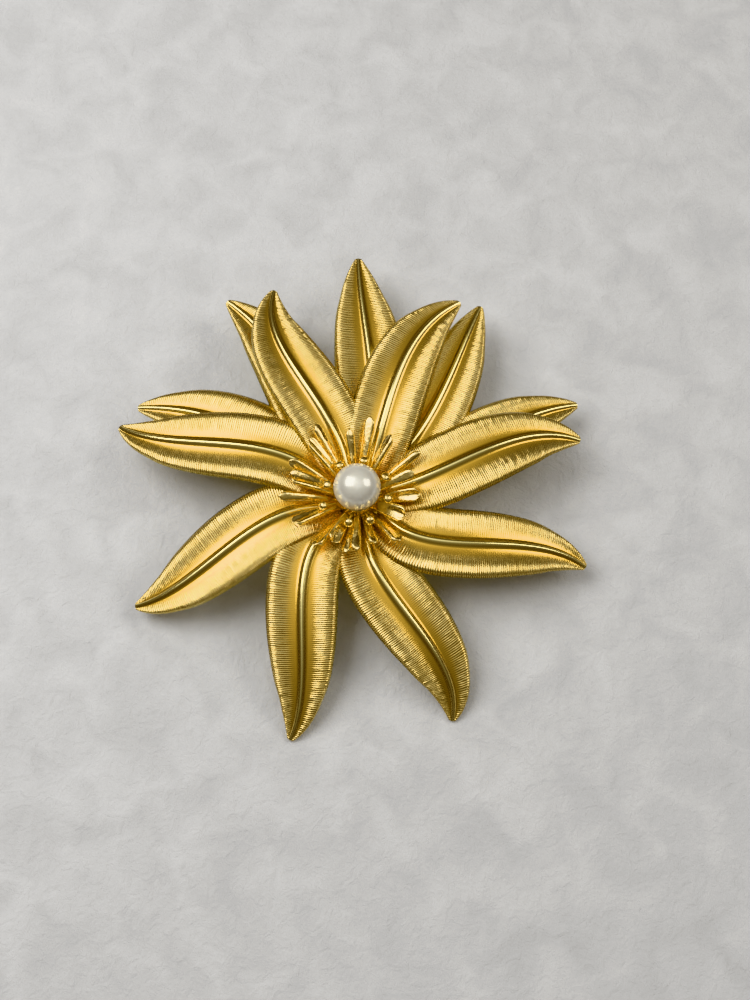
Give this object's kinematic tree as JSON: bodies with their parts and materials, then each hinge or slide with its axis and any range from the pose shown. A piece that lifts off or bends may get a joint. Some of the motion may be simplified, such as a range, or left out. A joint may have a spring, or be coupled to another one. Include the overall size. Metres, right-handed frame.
{
  "type": "brooch",
  "caption": "Flower brooch with ribbed lanceolate petals in two tiers, a ring of stamens round a pearl, and a hinged pin back with a roller catch.",
  "frame": {"origin": "middle of the underside: the centre of the outline at the lowest point, with the brooch lying face up", "axes": "+Z away from the wearer, out of the pearl; -Y is the side that hangs down when worn; +X to the right as seen from the front"},
  "size_m": [0.0612, 0.0656, 0.0158],
  "materials": {
    "florentine_gold": "gold-plated brass, petals cut with fine cross lines, satin, with polished ribs",
    "polished_gold": "gold-plated brass, bright polished",
    "pearl": "cream pearl, soft lustre",
    "finding_gold": "gold-plated stamped findings, lightly worn",
    "pin_steel": "gold-washed spring wire, bright"
  },
  "bodies": {
    "flower": {"back_petal_1": "florentine_gold", "back_petal_2": "florentine_gold", "back_petal_3": "florentine_gold", "back_petal_4": "florentine_gold", "back_petal_5": "florentine_gold", "back_washer": "finding_gold", "catch_body": "finding_gold", "centre_post": "finding_gold", "hinge_bracket": "finding_gold", "hinge_rivet": "finding_gold", "inner_stamens": "polished_gold", "lower_hub": "finding_gold", "middle_stamens": "polished_gold", "outer_stamens": "polished_gold", "pearl": "pearl", "pearl_cup": "polished_gold", "pin_bar": "finding_gold", "spacer": "finding_gold", "upper_hub": "polished_gold", "upper_petal_1": "florentine_gold", "upper_petal_2": "florentine_gold", "upper_petal_3": "florentine_gold", "upper_petal_4": "florentine_gold", "upper_petal_5": "florentine_gold", "upper_petal_6": "florentine_gold", "upper_petal_7": "florentine_gold", "upper_petal_8": "florentine_gold"},
    "pin": {"pin_stem": "pin_steel"},
    "roller": {"catch_roller": "finding_gold"}
  },
  "joints": [
    {"name": "pin_hinge", "type": "hinge", "parent": "flower", "child": "pin", "pos_m": [-0.0117, 0.0036, 0.00148], "axis": [0, 1, 0], "range_deg": [0, 100]},
    {"name": "roller_turn", "type": "hinge", "parent": "flower", "child": "roller", "pos_m": [0.0131, 0.0036, 0.00148], "axis": [1, 0, 0], "range_deg": [0, 100]}
  ]
}
